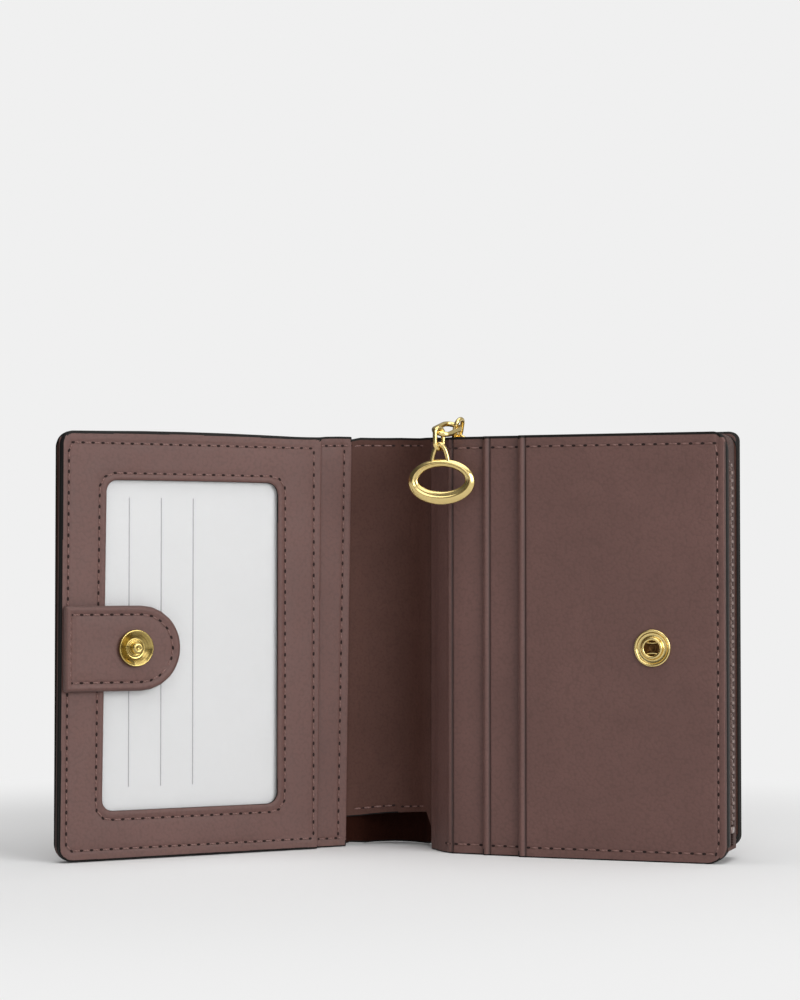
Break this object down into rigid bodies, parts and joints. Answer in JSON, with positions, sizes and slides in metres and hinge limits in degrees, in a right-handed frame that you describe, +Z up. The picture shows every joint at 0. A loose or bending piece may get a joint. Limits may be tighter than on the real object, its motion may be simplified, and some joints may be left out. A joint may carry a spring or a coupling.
{
  "type": "snap wallet",
  "caption": "Small leather snap wallet standing open: card slots, zipped coin pocket, note pocket, card window under a tab with a snap stud, and a hoop charm on the zip slider.",
  "frame": {"origin": "middle of the standing wallet's base, on the surface that it stands on", "axes": "+X runs from the leaf with the card window to the block with the card slots, +Y points to the fold behind them, +Z is up along the fold"},
  "size_m": [0.1538, 0.049, 0.0999],
  "materials": {
    "back_cover": "fine grain, satin, black painted edge",
    "back_lining": "plain lining, matt",
    "divider_back": "plain lining, matt",
    "card_base": "fine grain, satin, black painted edge",
    "card_pocket_inner": "fine grain, satin, black painted edge",
    "card_pocket_outer": "fine grain, satin, black painted edge",
    "snap_socket": "polished pale gold",
    "snap_socket_washer": "polished pale gold",
    "gusset_left": "fine grain, satin",
    "gusset_bottom": "plain lining, matt",
    "zip_tape_front": "woven tape",
    "zip_tape_rear": "woven tape",
    "zip_teeth_front": "moulded brown nylon, satin",
    "zip_teeth_rear": "moulded brown nylon, satin",
    "zip_bottom_stop": "polished pale gold",
    "zip_top_stop": "polished pale gold",
    "spine_cover": "fine grain, satin, black painted edge",
    "spine_divider": "plain lining, matt",
    "front_cover": "fine grain, satin, black painted edge",
    "front_divider": "plain lining, matt",
    "id_pocket_back": "fine grain, satin, black painted edge",
    "insert_card": "plain white card",
    "id_window_film": "clear film",
    "id_window_frame": "fine grain, satin, black painted edge",
    "tab_root": "fine grain, satin, black painted edge",
    "tab_face": "fine grain, satin, black painted edge",
    "tab_backing": "fine grain, satin, black painted edge",
    "snap_stud": "polished pale gold",
    "snap_stud_rivet": "polished pale gold",
    "zip_slider_body": "polished pale gold",
    "zip_slider_bridge": "polished pale gold",
    "pull_link_upper": "polished pale gold",
    "pull_link_middle": "polished pale gold",
    "pull_link_lower": "polished pale gold",
    "charm": "polished pale gold"
  },
  "bodies": {
    "block": {"back_cover": "back_cover", "back_lining": "back_lining", "divider_back": "divider_back", "card_base": "card_base", "card_pocket_inner": "card_pocket_inner", "card_pocket_outer": "card_pocket_outer", "snap_socket": "snap_socket", "snap_socket_washer": "snap_socket_washer", "gusset_left": "gusset_left", "gusset_bottom": "gusset_bottom", "zip_tape_front": "zip_tape_front", "zip_tape_rear": "zip_tape_rear", "zip_teeth_front": "zip_teeth_front", "zip_teeth_rear": "zip_teeth_rear", "zip_bottom_stop": "zip_bottom_stop", "zip_top_stop": "zip_top_stop"},
    "spine": {"spine_cover": "spine_cover", "spine_divider": "spine_divider"},
    "leaf": {"front_cover": "front_cover", "front_divider": "front_divider", "id_pocket_back": "id_pocket_back", "insert_card": "insert_card", "id_window_film": "id_window_film", "id_window_frame": "id_window_frame", "tab_root": "tab_root"},
    "tab": {"tab_face": "tab_face", "tab_backing": "tab_backing", "snap_stud": "snap_stud", "snap_stud_rivet": "snap_stud_rivet"},
    "slider": {"zip_slider_body": "zip_slider_body", "zip_slider_bridge": "zip_slider_bridge"},
    "link_upper": {"pull_link_upper": "pull_link_upper"},
    "link_middle": {"pull_link_middle": "pull_link_middle"},
    "link_lower": {"pull_link_lower": "pull_link_lower"},
    "charm_hoop": {"charm": "charm"}
  },
  "joints": [
    {"name": "spine_fold", "type": "hinge", "parent": "block", "child": "spine", "pos_m": [0.00663, 0.01033, 0], "axis": [0, 0, 1], "range_deg": [-4, 82.2]},
    {"name": "leaf_fold", "type": "hinge", "parent": "spine", "child": "leaf", "pos_m": [-0.01043, 0.01607, 0], "axis": [0, 0, 1], "range_deg": [-43, 48.7]},
    {"name": "tab_lift", "type": "hinge", "parent": "leaf", "child": "tab", "pos_m": [-0.07118, -0.02177, 0.0468], "axis": [0, 0, 1], "range_deg": [-75, 0]},
    {"name": "zip_slide", "type": "slide", "parent": "block", "child": "slider", "axis": [0.9455, -0.3256, 0], "range_m": [0, 0.049]},
    {"name": "upper_link_swing", "type": "hinge", "parent": "slider", "child": "link_upper", "pos_m": [0.01356, 0.00297, 0.09545], "axis": [0.9455, -0.3256, 0], "range_deg": [-60, 0]},
    {"name": "middle_link_swing", "type": "hinge", "parent": "link_upper", "child": "link_middle", "pos_m": [0.01309, 0.0016, 0.09715], "axis": [0.9455, -0.3256, 0], "range_deg": [-30, 0]},
    {"name": "lower_link_swing", "type": "hinge", "parent": "link_middle", "child": "link_lower", "pos_m": [0.00871, -0.00498, 0.095], "axis": [0.9455, -0.3256, 0], "range_deg": [-40, 1]},
    {"name": "charm_swing", "type": "hinge", "parent": "link_lower", "child": "charm_hoop", "pos_m": [0.00871, -0.00498, 0.09316], "axis": [0.9455, -0.3256, 0], "range_deg": [-30, 2]}
  ]
}
